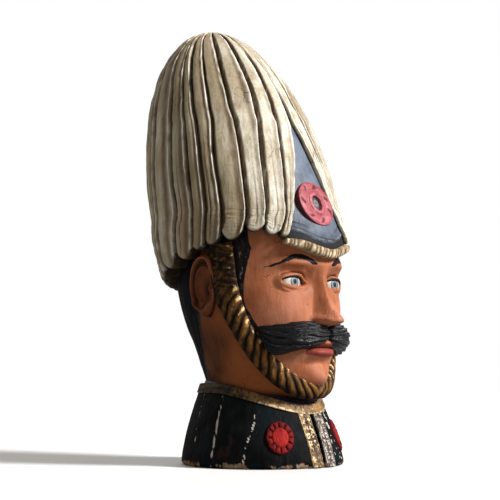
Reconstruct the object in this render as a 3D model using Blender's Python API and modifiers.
"""Carved and painted fairground bust of a plumed officer, cut from one laminated pine block.

Metres, +Z up. The bust faces -Y and stands on the flat underside of its collar, with the origin
at the middle of that underside. The figure's right hand side is -X. Angles on the head, collar
and hat run from the front, positive towards the figure's right.
"""

import math

import bmesh
import bpy
from mathutils import Matrix, Vector

# Collar: a flared stand collar that is also the foot
COLLAR_BASE_RADIUS = 0.1005
COLLAR_TOP_RADIUS = 0.080
COLLAR_FRONT_HEIGHT = 0.073
COLLAR_BACK_HEIGHT = 0.098
COLLAR_LEAN = 0.007
FOOT_ROUND = 0.005
LACE_WIDTH = 0.011
LACE_RAISE = 0.002
FRONT_BAND_WIDTH = 0.018
SLOT_WIDTH = 0.007
SLOT_DEPTH = 0.006
STOCK_RISE = 0.007
STOCK_INSET = 0.0035
COLLAR_BUTTON_WIDTH = 0.034
COLLAR_BUTTON_HEIGHT = 0.041
COLLAR_BUTTON_RAISE = 0.0025
COLLAR_BUTTON_ANGLE = math.radians(33)
COLLAR_BUTTON_LIFT = 0.036

# Head: everything on the face is a share of the height from chin to brow
FACE_HEIGHT = 0.150
CHIN_OVER_COLLAR = 0.019
HEAD_HALF_WIDTH = 0.092
HEAD_FRONT = 0.098
HEAD_BACK = 0.126
EAR_HEIGHT = 0.076
EAR_WIDTH = 0.040

# Hat: a dome of carved feathers over a dark crown, open in front as a tall triangle
HAT_OVERHANG = 0.030
CROWN_HEIGHT = 0.260
CROWN_LEAN = 0.25
HAT_SETBACK = 0.028
PEAK_OVER_BROW = 0.014
FEATHERS_A_SIDE = 15
FEATHER_RELIEF = 0.0065
PANEL_HEIGHT = 0.176
PANEL_HALF_WIDTH = 0.055
HAIRLINE = 0.03  # least width of the groove above the panel, as a share of the radius
COCKADE_RADIUS = 0.030
COCKADE_RAISE = 0.007
PEAK_LACE_WIDTH = 0.014
STRAP_WIDTH = 0.025
STRAP_THICKNESS = 0.013
STRAP_LINK = 0.014

CHIN_Z = COLLAR_FRONT_HEIGHT + CHIN_OVER_COLLAR
HAT_RADIUS = HEAD_HALF_WIDTH + HAT_OVERHANG
PEAK_Z = CHIN_Z + FACE_HEIGHT + PEAK_OVER_BROW
RIM_SIDE_Z = PEAK_Z + 0.12 * FACE_HEIGHT
RIM_BACK_Z = PEAK_Z - 0.28 * FACE_HEIGHT
EQUATOR_Z = PEAK_Z + 0.32 * FACE_HEIGHT
SKIRT_DEPTH = 1.3 * HAT_RADIUS

CREAM = (0.72, 0.66, 0.52)
SLATE = (0.09, 0.11, 0.15)
FLESH = (0.48, 0.20, 0.12)
BLACK = (0.02, 0.02, 0.025)
GOLD = (0.42, 0.28, 0.10)
RED = (0.45, 0.04, 0.04)


def smoothstep(low, high, x):
    """0 below low, 1 above high, and an even S between. The two may be given in either order."""
    t = min(1.0, max(0.0, (x - low) / (high - low)))
    return t * t * (3 - 2 * t)


def bell(x, centre, width):
    return math.exp(-(((x - centre) / width) ** 2))


def through(rows, x):
    """The values at x on smooth curves through rows of (x, value, value ...)."""
    last = len(rows) - 1
    i = next((k for k in range(last) if x < rows[k + 1][0]), last - 1)
    low, high = rows[i], rows[i + 1]
    span = high[0] - low[0]
    t = min(1.0, max(0.0, (x - low[0]) / span))

    def slope(k, n):
        a, b = rows[max(k - 1, 0)], rows[min(k + 1, last)]
        return (b[n] - a[n]) / (b[0] - a[0]) * span

    return [
        low[n] * (2 * t**3 - 3 * t**2 + 1)
        + slope(i, n) * (t**3 - 2 * t**2 + t)
        + high[n] * (3 * t**2 - 2 * t**3)
        + slope(i + 1, n) * (t**3 - t**2)
        for n in range(1, len(low))
    ]


def at(forward, side, z):
    """A point from its distance forward, its distance towards the figure's right, and its height."""
    return Vector((-side, -forward, z))


def paint(name, colour, roughness=0.6):
    material = bpy.data.materials.new(name)
    material.use_nodes = True
    shader = material.node_tree.nodes["Principled BSDF"]
    shader.inputs["Base Color"].default_value = (*colour, 1.0)
    shader.inputs["Roughness"].default_value = roughness
    return material


def loft(name, rings, material, collection):
    """One closed solid through rings of as many points each, closed by a fan at each end."""
    bm = bmesh.new()
    rows = [[bm.verts.new(p) for p in ring] for ring in rings]
    for lower, upper in zip(rows, rows[1:]):
        for i in range(len(lower)):
            j = (i + 1) % len(lower)
            bm.faces.new((lower[i], lower[j], upper[j], upper[i]))
    for row in (rows[0], rows[-1]):
        middle = bm.verts.new(sum((v.co for v in row), Vector()) / len(row))
        for i in range(len(row)):
            bm.faces.new((row[i], row[(i + 1) % len(row)], middle))
    return finished(name, bm, material, collection)


def swept_ring(name, sections, material, collection):
    """A closed hoop through sections of as many points each, the last joined to the first."""
    bm = bmesh.new()
    rows = [[bm.verts.new(p) for p in section] for section in sections]
    for k, row in enumerate(rows):
        after = rows[(k + 1) % len(rows)]
        for i in range(len(row)):
            j = (i + 1) % len(row)
            bm.faces.new((row[i], row[j], after[j], after[i]))
    return finished(name, bm, material, collection)


def finished(name, bm, material, collection):
    bmesh.ops.recalc_face_normals(bm, faces=bm.faces)
    mesh = bpy.data.meshes.new(name)
    bm.to_mesh(mesh)
    bm.free()
    mesh.shade_smooth()
    mesh.set_sharp_from_angle(angle=math.radians(38))
    mesh.materials.append(material)
    obj = bpy.data.objects.new(name, mesh)
    collection.objects.link(obj)
    return obj


def repaint(obj, material, covers):
    """Give a second paint to the faces whose middle passes the test covers(point)."""
    obj.data.materials.append(material)
    for face in obj.data.polygons:
        if covers(face.center):
            face.material_index = len(obj.data.materials) - 1
    return obj


# The collar


def collar_rise(angle):
    """Height of the collar's top edge: low at the throat, high at the nape."""
    away = math.acos(math.cos(angle))
    rise = (COLLAR_BACK_HEIGHT - COLLAR_FRONT_HEIGHT) * smoothstep(0, math.pi / 2, away)
    return COLLAR_FRONT_HEIGHT + rise


def collar_radius(z):
    share = max(0.0, z / COLLAR_FRONT_HEIGHT)
    return COLLAR_BASE_RADIUS - (COLLAR_BASE_RADIUS - COLLAR_TOP_RADIUS) * share**1.38


def collar_point(angle, z, proud=0.0):
    """A point on the collar's outside, or that far proud of it."""
    radius = collar_radius(z) + proud
    back = COLLAR_LEAN * z / COLLAR_FRONT_HEIGHT
    return at(radius * math.cos(angle) - back, radius * math.sin(angle), z)


def turn(count):
    return [2 * math.pi * k / count for k in range(count)]


def collar_body(collection):
    angles = turn(48)
    rounded = COLLAR_BASE_RADIUS - FOOT_ROUND
    foot = [at(rounded * math.cos(a), rounded * math.sin(a), 0.0) for a in angles]
    rings = [foot]
    for share in (0.0, 0.3, 0.65, 1.0):
        rings.append(
            [
                collar_point(a, FOOT_ROUND + (collar_rise(a) - FOOT_ROUND) * share)
                for a in angles
            ]
        )
    return loft("collar", rings, paint("black cloth", BLACK), collection)


def collar_stock(collection):
    """The dark lining that stands just above the collar's edge, round the neck."""
    angles = turn(43)
    sink = 3 * STOCK_RISE
    rings = [
        [collar_point(a, collar_rise(a) + lift, -STOCK_INSET) for a in angles]
        for lift in (-sink, STOCK_RISE)
    ]
    return loft("stock", rings, paint("navy", (0.02, 0.03, 0.10)), collection)


def top_lace(collection):
    """The raised gold band along the collar's upper edge."""
    sections = []
    for a in turn(45):
        top = collar_rise(a) + 0.4 * LACE_RAISE
        sections.append(
            [
                collar_point(a, top, -2 * LACE_RAISE),
                collar_point(a, top, LACE_RAISE),
                collar_point(a, top - LACE_WIDTH, LACE_RAISE),
                collar_point(a, top - LACE_WIDTH, -2 * LACE_RAISE),
            ]
        )
    return swept_ring("top_lace", sections, paint("gold lace", GOLD), collection)


def front_band(side, collection):
    """One raised gold band down the collar's front edge, from the top lace to the foot."""
    rings = []
    top = COLLAR_FRONT_HEIGHT - 0.5 * LACE_WIDTH
    for share in (0.0, 0.35, 0.7, 1.0):
        z = FOOT_ROUND * 0.7 + (top - FOOT_ROUND * 0.7) * share
        edges = (0.25 * SLOT_WIDTH, 0.5 * (SLOT_WIDTH + FRONT_BAND_WIDTH))
        edges = (*edges, 0.5 * SLOT_WIDTH + FRONT_BAND_WIDTH)
        angles = [side * edge / collar_radius(z) for edge in edges]
        outer = [collar_point(a, z, 0.8 * LACE_RAISE) for a in angles]
        inner = [collar_point(a, z, -2.5 * LACE_RAISE) for a in reversed(angles)]
        rings.append(outer + inner)
    return loft(f"front_band_{side:+d}", rings, paint("gold band", GOLD), collection)


def front_slot(cutters):
    """Cutter for the dark opening between the two front bands."""
    bm = bmesh.new()
    bmesh.ops.create_cube(bm, size=1.0)
    deep = COLLAR_BASE_RADIUS - COLLAR_TOP_RADIUS + 4 * SLOT_DEPTH
    tall = 1.2 * (COLLAR_FRONT_HEIGHT + STOCK_RISE)
    slope = math.atan2(
        COLLAR_BASE_RADIUS - COLLAR_TOP_RADIUS + COLLAR_LEAN, COLLAR_FRONT_HEIGHT
    )
    bmesh.ops.scale(bm, vec=(SLOT_WIDTH, deep, tall), verts=bm.verts)
    bmesh.ops.translate(bm, vec=(0, -deep / 2, 0), verts=bm.verts)
    placed = Matrix.Translation(collar_point(0, COLLAR_FRONT_HEIGHT / 2, -SLOT_DEPTH))
    bm.transform(placed @ Matrix.Rotation(-slope, 4, "X"))
    return finished("front_slot", bm, paint("slot", BLACK), cutters)


def frame_on(surface, angle, z, step=0.004):
    """A matrix on a surface(angle, z), with X along it, Y up it and Z out of it."""
    here = surface(angle, z)
    up = (surface(angle, z + step) - surface(angle, z - step)).normalized()
    turned = step / COLLAR_BASE_RADIUS
    across = (surface(angle - turned, z) - surface(angle + turned, z)).normalized()
    out = across.cross(up).normalized()
    up = out.cross(across)
    matrix = Matrix((across, up, out)).transposed().to_4x4()
    matrix.translation = here
    return matrix


def turned_boss(name, outline, matrix, colour, collection, count=20):
    """A boss turned from an outline of (radius, height), from its top down, on a surface frame."""
    mesh = bpy.data.meshes.new(name)
    points = [(radius, 0.0, height) for radius, height in outline]
    mesh.from_pydata(points, [(i, i + 1) for i in range(len(points) - 1)], [])
    mesh.materials.append(paint(name, colour))
    obj = bpy.data.objects.new(name, mesh)
    obj.matrix_world = matrix
    collection.objects.link(obj)
    screw = obj.modifiers.new("Turn", "SCREW")
    screw.steps = screw.render_steps = count
    screw.use_merge_vertices = True
    screw.merge_threshold = 0.0001
    return obj


def collar_button(side, collection):
    """An oval rosette on the collar: a rim, a groove and a round middle."""
    matrix = frame_on(collar_point, side * COLLAR_BUTTON_ANGLE, COLLAR_BUTTON_LIFT)
    oval = Matrix.Diagonal((1.0, COLLAR_BUTTON_HEIGHT / COLLAR_BUTTON_WIDTH, 1.0, 1.0))
    r, up = COLLAR_BUTTON_WIDTH / 2, COLLAR_BUTTON_RAISE
    outline = [
        (0.0, 1.45 * up),
        (0.32 * r, 1.35 * up),
        (0.6 * r, 1.1 * up),
        (0.68 * r, 0.4 * up),
        (0.74 * r, 0.9 * up),
        (0.9 * r, up),
        (r, 0.6 * up),
        (r, -2.5 * up),
        (0.0, -2.5 * up),
    ]
    return turned_boss(f"collar_button_{side:+d}", outline, matrix @ oval, RED, collection)


# The head

# share of the face height above the chin: front, back and half width as shares of the head's
# own, and how much the front is pinched in towards the chin
HEAD_SECTIONS = (
    (-0.25, 0.55, 0.56, 0.67, 0.0),
    (-0.07, 0.58, 0.57, 0.68, 0.0),
    (0.00, 0.82, 0.58, 0.70, 0.14),
    (0.09, 0.93, 0.59, 0.75, 0.22),
    (0.33, 1.00, 0.69, 0.87, 0.16),
    (0.50, 1.00, 0.80, 0.94, 0.08),
    (0.75, 0.98, 0.93, 1.00, 0.0),
    (1.00, 1.00, 1.00, 1.00, 0.0),
    (1.20, 0.96, 1.02, 1.00, 0.0),
    (1.38, 0.78, 0.95, 0.93, 0.0),
)
EYE_SIDE, EYE_UP = 0.245, 0.84
NOSE_TIP_UP, NOSE_BASE_UP = 0.545, 0.485


def nose(side, up):
    """How far the nose stands out, all in shares of the face height."""
    down = min(1.0, max(0.0, (0.86 - up) / (0.86 - NOSE_TIP_UP)))
    ridge = (0.03 + 0.16 * down**1.1) * (1 - smoothstep(0.86, 1.0, up))
    ridge *= smoothstep(NOSE_BASE_UP - 0.01, NOSE_TIP_UP - 0.01, up)
    wings = 0.06 * bell(side, 0.095, 0.04) * bell(up, 0.55, 0.045)
    return ridge * (1 - smoothstep(0.015, 0.085 + 0.05 * down, side)) + wings


def eye(side, up):
    """The socket sunk into the face and the eyeball that fills it."""
    socket = -0.055 * bell(side, EYE_SIDE, 0.14) * bell(up, EYE_UP, 0.09)
    corner = -0.03 * bell(side, 0.12, 0.05) * bell(up, 0.86, 0.06)
    across = math.hypot(side - EYE_SIDE, up - EYE_UP)
    ball, sunk = 0.11, 0.067
    return socket + corner + max(0.0, math.sqrt(max(0.0, ball**2 - across**2)) - sunk)


def face_relief(side, up):
    """How far the carved face stands forward of the plain head, in shares of the face height."""
    brow = 0.035 * bell(up, 1.0, 0.07) * (1 - smoothstep(0.3, 0.5, side))
    cheek = 0.03 * bell(side, 0.34, 0.15) * bell(up, 0.60, 0.14)
    muzzle = 0.035 * bell(side, 0, 0.22) * bell(up, 0.36, 0.14)
    lip = 0.035 * bell(side, 0, 0.13) * bell(up, 0.28, 0.035)
    under_lip = -0.03 * bell(side, 0, 0.17) * bell(up, 0.205, 0.04)
    chin = 0.045 * bell(side, 0, 0.15) * bell(up, 0.09, 0.08)
    return nose(side, up) + eye(side, up) + brow + cheek + muzzle + lip + under_lip + chin


def head_point(angle, up, carved=True):
    """A point on the head at this height above the chin, in shares of the face height."""
    front, back, width, pinch = through(HEAD_SECTIONS, up)
    ahead = max(0.0, math.cos(angle))
    depth = HEAD_FRONT * front if math.cos(angle) > 0 else HEAD_BACK * back
    forward = depth * math.cos(angle)
    side = HEAD_HALF_WIDTH * width * math.sin(angle) * (1 - pinch * ahead**2)
    if carved:
        relief = face_relief(abs(side) / FACE_HEIGHT, up)
        forward += FACE_HEIGHT * relief * smoothstep(0.0, 0.35, ahead)
    return at(forward, side, CHIN_Z + up * FACE_HEIGHT)


def head(collection):
    """Neck, jaw, face and the smooth hair behind, up to inside the hat."""
    half = (3, 6.5, 10, 14, 19, 25, 31, 38, 46, 56, 67, 78, 90, 108, 126, 148, 171)
    angles = [0, *half, *(-a for a in reversed(half))]
    ups = (-0.22, -0.07, 0.0, 0.05, 0.09, 0.15, 0.205, 0.25, 0.28, 0.33, 0.40, 0.46, 0.50)
    ups += (0.545, 0.60, 0.68, 0.75, 0.80, 0.84, 0.88, 0.93, 1.0, 1.1, 1.35)
    rings = [[head_point(math.radians(a), up) for a in angles] for up in ups]
    skin = loft("head", rings, paint("flesh", FLESH), collection)
    return repaint(skin, paint("hair", BLACK), lambda p: p.y > 0.35 * EAR_WIDTH)


def ear(side, collection):
    """An ear as a shallow bowl with a thick rim, its back edge standing out from the head."""
    along = 0.5 * EAR_WIDTH
    tall = 0.5 * EAR_HEIGHT
    matrix = frame_on(
        lambda a, z: head_point(a, (z - CHIN_Z) / FACE_HEIGHT, carved=False),
        side * math.radians(92),
        CHIN_Z + 0.78 * FACE_HEIGHT,
    )
    rows = ((1.0, -0.45), (1.04, 0.22), (0.9, 0.36), (0.72, 0.24), (0.42, 0.08))
    rings = []
    for share, lift in rows:
        ring = []
        for a in turn(16):
            x = math.cos(a) * share
            y = math.sin(a) * share
            narrow = 1 - 0.22 * smoothstep(0.2, -1.0, y)
            backward = -side * x
            out = EAR_WIDTH * (lift + 0.16 * smoothstep(-0.6, 1.0, backward) * (lift > 0))
            ring.append(matrix @ Vector((along * x * narrow, tall * y, out)))
        rings.append(ring)
    return loft(f"ear_{side:+d}", rings, paint("ear", FLESH), collection)


# share of the way out, angle in degrees, height on the head, half height and thickness of
# half the moustache, from its parting to its tip at the strap, all as shares of the face
MOUSTACHE_LINE = (
    (0.0, 0, 0.435, 0.070, 0.083),
    (0.25, 14, 0.430, 0.100, 0.110),
    (0.5, 28.5, 0.415, 0.110, 0.117),
    (0.78, 45, 0.387, 0.118, 0.101),
    (0.9, 51.5, 0.412, 0.086, 0.077),
    (1.0, 56, 0.470, 0.036, 0.045),
)


def moustache(collection):
    """A heavy drooping moustache from strap to strap, parted under the nose."""
    rings = []
    stations = 23
    for k in range(stations):
        along = -1 + 2 * k / (stations - 1)
        degrees, up, tall, thick = through(MOUSTACHE_LINE, abs(along))
        angle = math.copysign(math.radians(degrees), along)
        centre = head_point(angle, up, carved=False)
        ahead = (head_point(angle + 0.02, up, False) - centre).normalized()
        out = ahead.cross(Vector((0, 0, 1))).normalized()
        ring = []
        for a in turn(10):
            droop = Vector((0, 0, 1)) * tall * FACE_HEIGHT * math.sin(a)
            ring.append(centre + droop + out * thick * FACE_HEIGHT * (0.05 + math.cos(a)))
        rings.append(ring)
    return loft("moustache", rings, paint("moustache", BLACK), collection)


# angle in degrees and height on the head of half the chin strap's line, from the chin up
STRAP_LINE = (
    (0.0, 0, 0.005),
    (0.17, 20, 0.013),
    (0.33, 41, 0.085),
    (0.45, 55, 0.23),
    (0.57, 64, 0.41),
    (0.71, 71, 0.62),
    (0.86, 77, 0.87),
    (1.0, 80, 1.14),
)


def strap_point(along):
    """A point on the strap's line, for along from -1, high on the left, to 1, on the right."""
    degrees, up = through(STRAP_LINE, abs(along))
    return head_point(math.copysign(math.radians(degrees), along), up, carved=False)


def chin_strap(collection):
    """A plaited strap round the chin, each of its links a slanted swelling."""
    steps = 400
    points = [strap_point(-1 + 2 * k / steps) for k in range(steps + 1)]
    lengths = [0.0]
    for a, b in zip(points, points[1:]):
        lengths.append(lengths[-1] + (b - a).length)
    links = 2 * round(lengths[-1] / STRAP_LINK / 2)
    per_link = 2
    rings = []
    for k in range(links * per_link + 1):
        target = lengths[-1] * k / (links * per_link)
        i = min(steps - 1, next(n for n in range(steps + 1) if lengths[n] >= target - 1e-9))
        centre = points[i]
        ahead = (points[i + 1] - points[max(i - 1, 0)]).normalized()
        outwards = Vector((centre.x, centre.y + 0.1 * HEAD_FRONT, 0)).normalized()
        across = ahead.cross(outwards).normalized()
        out = across.cross(ahead)
        swell = 1.0 if k % per_link else 0.78
        wide = 0.5 * STRAP_WIDTH * (0.9 + 0.1 * swell)
        wide *= 1 + 0.35 * smoothstep(0.45, 0.8, abs(2 * k / (links * per_link) - 1))
        ring = []
        for a in turn(6):
            push = out * STRAP_THICKNESS * (0.15 + 0.62 * swell * math.cos(a))
            ring.append(centre + push + across * wide * math.sin(a))
        rings.append(ring)
    return loft("chin_strap", rings, paint("chin strap", GOLD), collection)


# The hat


def rim_height(angle):
    """Height of the hat's lower edge: dipped in front as a peak, raised over the temples."""
    degrees = abs(math.degrees(angle))
    side = smoothstep(128, 32, degrees)
    dip = (RIM_SIDE_Z - PEAK_Z) * bell(degrees, 0, 19)
    return RIM_BACK_Z + (RIM_SIDE_Z - RIM_BACK_Z) * side - dip


def hat_point(angle, z, sunk=0.0):
    """A point on the hat's outer form, or that far sunk into it."""
    if z > EQUATOR_Z:
        share = min(1.0, (z - EQUATOR_Z) / CROWN_HEIGHT)
        back = HAT_SETBACK + CROWN_LEAN * (z - EQUATOR_Z)
    else:
        share = (EQUATOR_Z - z) / SKIRT_DEPTH
        back = HAT_SETBACK
    radius = HAT_RADIUS * math.sqrt(max(0.0, 1 - share**2))
    flare = smoothstep(1.5, 0.0, (z - PEAK_Z) / (EQUATOR_Z - PEAK_Z)) ** 1.5
    peak = 0.2 * HAT_RADIUS * flare * bell(math.degrees(angle) / 42, 0, 1)
    radius = max(0.0, radius + peak - sunk)
    return at(radius * math.cos(angle) - back, radius * math.sin(angle), z)


def panel_half_angle(z):
    """Half the angle that the dark front panel takes at this height."""
    share = (PEAK_Z + PANEL_HEIGHT - z) / PANEL_HEIGHT
    half = PANEL_HALF_WIDTH * min(1.0, max(0.0, share)) ** 1.1
    return math.asin(min(0.9, max(HAIRLINE, half / HAT_RADIUS)))


# share of one feather's width, and height there as a share of the relief
FEATHER_PROFILE = ((0.0, 0.0), (0.16, 0.8), (0.45, 1.0), (0.76, 0.75))
# relative widths of the feathers down one side, from the front panel to the back
FEATHER_WIDTHS = (10, 11, 13, 16, 11, 7, 8, 9, 14, 11, 12, 9, 13, 10, 12)


def hat_columns():
    """(share of the way round one half, height) of each column, from the panel to the back."""
    widths = [FEATHER_WIDTHS[k % len(FEATHER_WIDTHS)] for k in range(FEATHERS_A_SIDE)]
    columns = []
    start = 0.0
    for width in widths:
        share = width / sum(widths)
        columns += [(start + share * x, height) for x, height in FEATHER_PROFILE]
        start += share
    return columns


def hat(collection):
    """The whole plume: feathers from the crown to the rim, parted over the front panel."""
    columns = hat_columns()
    right = [(1, share, height) for share, height in columns]
    left = [(-1, share, height) for share, height in reversed(columns[1:])]
    panel = [(-1, 0.0, 0.0), (0, -0.5, -0.1), (0, 0.0, -0.1), (0, 0.5, -0.1)]
    around = [*right, (1, 1.0, 0.0), *left, *panel]
    rows = 14
    equator_row = 9
    rings = []
    for row in range(1, rows):
        ring = []
        for side, share, height in around:
            if row <= equator_row:
                drop = math.pi / 2 * (row / equator_row) ** 1.1
                z = EQUATOR_Z + CROWN_HEIGHT * math.cos(drop)
            else:
                z = None
            down = (row - equator_row) / (rows - 1 - equator_row)
            half = panel_half_angle(z if z else EQUATOR_Z)
            angle = side * (half + (math.pi - half) * share) if side else half * share
            if z is None:
                rim = rim_height(angle) + 0.5 * FEATHER_RELIEF * (1 - 2 * height)
                z = EQUATOR_Z + (rim - EQUATOR_Z) * down
                half = panel_half_angle(z)
                angle = side * (half + (math.pi - half) * share) if side else half * share
            fade = smoothstep(0.0, 0.25, row / rows)
            tip = 0.6 * smoothstep(rows - 2.5, rows - 1, row)
            ring.append(hat_point(angle, z, FEATHER_RELIEF * fade * (1 - height + tip)))
        rings.append(ring)
    under = []
    for share in (0.88, 0.55):
        ring = []
        for p in rings[rows - 2]:
            middle = Vector((0, HAT_SETBACK, 0))
            flat = Vector((p.x, p.y, 0)) - middle
            lift = (1 - share) * 0.05 * FACE_HEIGHT
            ring.append(middle + flat * share + Vector((0, 0, p.z + lift)))
        under.append(ring)
    plume = loft("plume", rings + under, paint("feathers", CREAM), collection)

    def in_panel(p):
        inside = abs(p.x) < HAT_RADIUS * math.sin(panel_half_angle(p.z))
        return p.y < 0 and inside and p.z < PEAK_Z + PANEL_HEIGHT

    return repaint(plume, paint("hat front", SLATE), in_panel)


def peak_lace(collection):
    """The gold edge of the hat's peak, under the front panel."""
    rings = []
    reach = math.radians(24.6)
    stations = 16
    for k in range(stations):
        angle = reach * (2 * k / (stations - 1) - 1)
        taper = 1 - 0.45 * abs(2 * k / (stations - 1) - 1) ** 3
        low = rim_height(angle) - 0.75 * PEAK_LACE_WIDTH
        high = low + PEAK_LACE_WIDTH * taper
        proud = 0.1 * PEAK_LACE_WIDTH
        deep = 1.9 * PEAK_LACE_WIDTH
        rings.append(
            [
                hat_point(angle, high, -proud),
                hat_point(angle, 0.5 * (low + high), -1.9 * proud),
                hat_point(angle, low, -proud),
                hat_point(angle, low, deep),
                hat_point(angle, high, deep),
            ]
        )
    return loft("peak_lace", rings, paint("peak lace", GOLD), collection)


def cockade(collection):
    """The round rosette on the hat's front panel: a fat ring about a small boss."""
    z = PEAK_Z + 0.33 * PANEL_HEIGHT
    matrix = frame_on(lambda a, h: hat_point(a, h, FEATHER_RELIEF), 0.0, z, 0.02)
    r, up = COCKADE_RADIUS, COCKADE_RAISE
    outline = [
        (0.0, 0.8 * up),
        (0.2 * r, 0.75 * up),
        (0.34 * r, 0.45 * up),
        (0.42 * r, 0.95 * up),
        (0.7 * r, up),
        (0.88 * r, 0.85 * up),
        (r, 0.35 * up),
        (r, -2 * up),
        (0.0, -2 * up),
    ]
    return turned_boss("cockade", outline, matrix, RED, collection, 24)


def joined(whole, part, operation="UNION"):
    part.hide_render = True
    part.display_type = "WIRE"
    modifier = whole.modifiers.new(f"{operation.lower()} {part.name}", "BOOLEAN")
    modifier.operation = operation
    modifier.object = part
    modifier.material_mode = "TRANSFER"


def main():
    for obj in list(bpy.data.objects):
        bpy.data.objects.remove(obj)
    scene = bpy.context.scene.collection
    bust = bpy.data.collections.new("Fairground bust")
    carving = bpy.data.collections.new("Carving")
    for collection in (bust, carving):
        scene.children.link(collection)

    whole = collar_body(bust)
    whole.name = "carved_bust"
    for side in (1, -1):
        joined(whole, front_band(side, carving))
        joined(whole, collar_button(side, carving))
    joined(whole, top_lace(carving))
    joined(whole, front_slot(carving), "DIFFERENCE")
    joined(whole, collar_stock(carving))
    joined(whole, head(carving))
    for side in (1, -1):
        joined(whole, ear(side, carving))
    joined(whole, moustache(carving))
    joined(whole, chin_strap(carving))
    joined(whole, peak_lace(carving))
    joined(whole, hat(carving))
    joined(whole, cockade(carving))


main()
